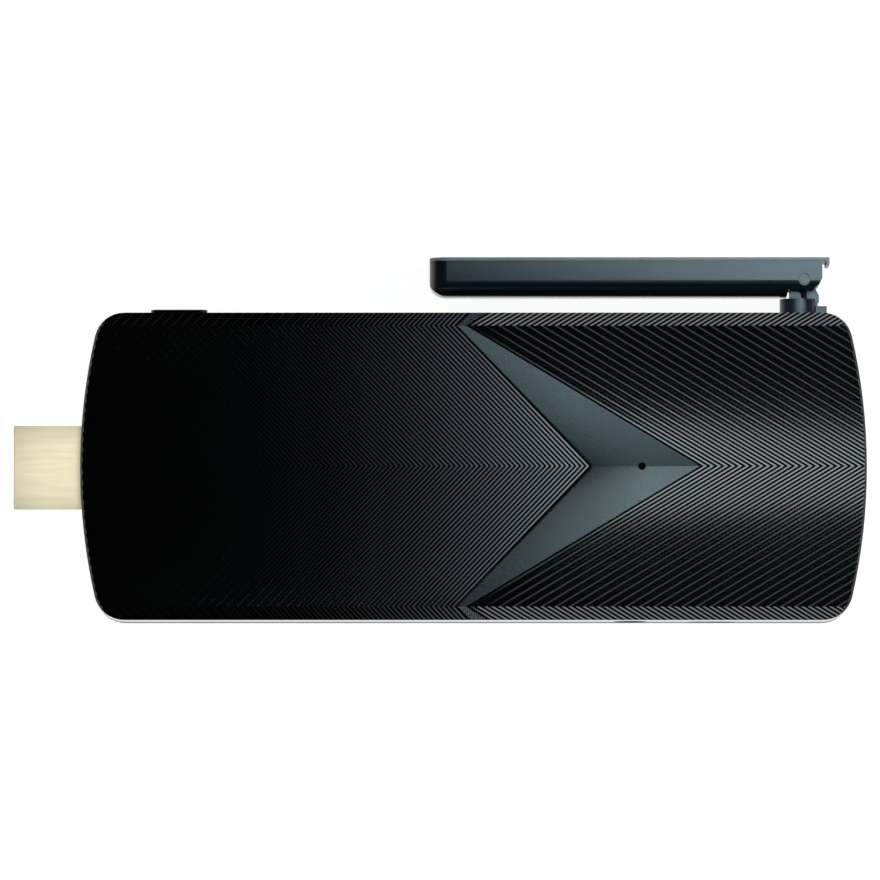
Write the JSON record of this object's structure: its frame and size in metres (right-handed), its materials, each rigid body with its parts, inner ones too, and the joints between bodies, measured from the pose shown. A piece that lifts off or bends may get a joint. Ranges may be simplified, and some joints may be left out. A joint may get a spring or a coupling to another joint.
{
  "type": "streaming media player",
  "caption": "Stick-shaped streaming media player with an HDMI plug, a patterned cover with an arrow recess and a folding swivel antenna.",
  "frame": {"origin": "centre of the flat underside of the case", "axes": "+X points away from the HDMI plug along the case, +Y towards the antenna side, +Z out of the patterned cover"},
  "size_m": [0.1415, 0.0604, 0.014],
  "materials": {
    "black_plastic": "satin",
    "black_case": "fine matt",
    "button_plastic": "satin",
    "smoked_clear": "polished",
    "antenna_plastic": "satin",
    "base_plastic": "satin",
    "lid_plastic": "satin",
    "gilded_steel": "bright, finely grained",
    "gold_contact": "bright",
    "tinned_steel": "bright",
    "screw_steel": "plated",
    "spring_steel": "bright",
    "pin_steel": "brushed",
    "board_green": "solder mask",
    "board_blue": "solder mask",
    "chip_epoxy": "matt",
    "gap_pad": "soft, matt",
    "sink_aluminium": "extruded",
    "ferrite": "matt",
    "ceramic_tan": "matt",
    "led_white": "clear cap",
    "port_black": "moulded",
    "port_white": "moulded",
    "bush_acetal": "moulded",
    "plunger_resin": "moulded",
    "cable_jacket": "smooth"
  },
  "bodies": {
    "case": {"top_cover": "black_plastic", "bottom_case": "black_case", "case_screws": "screw_steel", "light_pipe": "smoked_clear", "main_board": "board_green", "processor": "chip_epoxy", "thermal_pad": "gap_pad", "heat_sink": "sink_aluminium", "memory_chips": "chip_epoxy", "storage_chip": "chip_epoxy", "power_chip": "chip_epoxy", "power_coils": "ferrite", "capacitors": "ceramic_tan", "crystal": "tinned_steel", "status_led": "led_white", "wifi_board": "board_blue", "wifi_shield": "tinned_steel", "coax_plug": "gold_contact", "case_coax": "cable_jacket", "hdmi_shell": "gilded_steel", "hdmi_insulator": "port_black", "hdmi_contacts": "gold_contact", "usb_shell": "tinned_steel", "usb_tongue": "port_white", "usb_contacts": "gold_contact", "micro_usb_shell": "tinned_steel", "micro_usb_tongue": "port_black", "jack_body": "port_black", "jack_contacts": "spring_steel", "card_slot_base": "port_black", "card_slot_cover": "tinned_steel", "switch_body": "port_black", "swivel_bush": "bush_acetal"},
    "button": {"power_button": "button_plastic", "switch_plunger": "plunger_resin"},
    "base": {"antenna_base": "base_plastic", "wave_washer": "spring_steel", "retaining_ring": "spring_steel", "base_coax": "cable_jacket"},
    "antenna": {"antenna_shell": "antenna_plastic", "antenna_lid": "lid_plastic", "antenna_element": "board_green", "blade_coax": "cable_jacket", "hinge_pin": "pin_steel"}
  },
  "joints": [
    {"name": "antenna_swivel", "type": "hinge", "parent": "case", "child": "base", "pos_m": [0.0541, 0.0255, 0.007], "axis": [0, 1, 0], "range_deg": [-90, 90]},
    {"name": "antenna_fold", "type": "hinge", "parent": "base", "child": "antenna", "pos_m": [0.0549, 0.0312, 0.007], "axis": [0, 0, -1], "range_deg": [0, 90]},
    {"name": "button_press", "type": "slide", "parent": "case", "child": "button", "axis": [0, -1, 0], "range_m": [0, 0.0003], "stiffness_N_per_m": 1500, "springref_m": -0.0002}
  ]
}
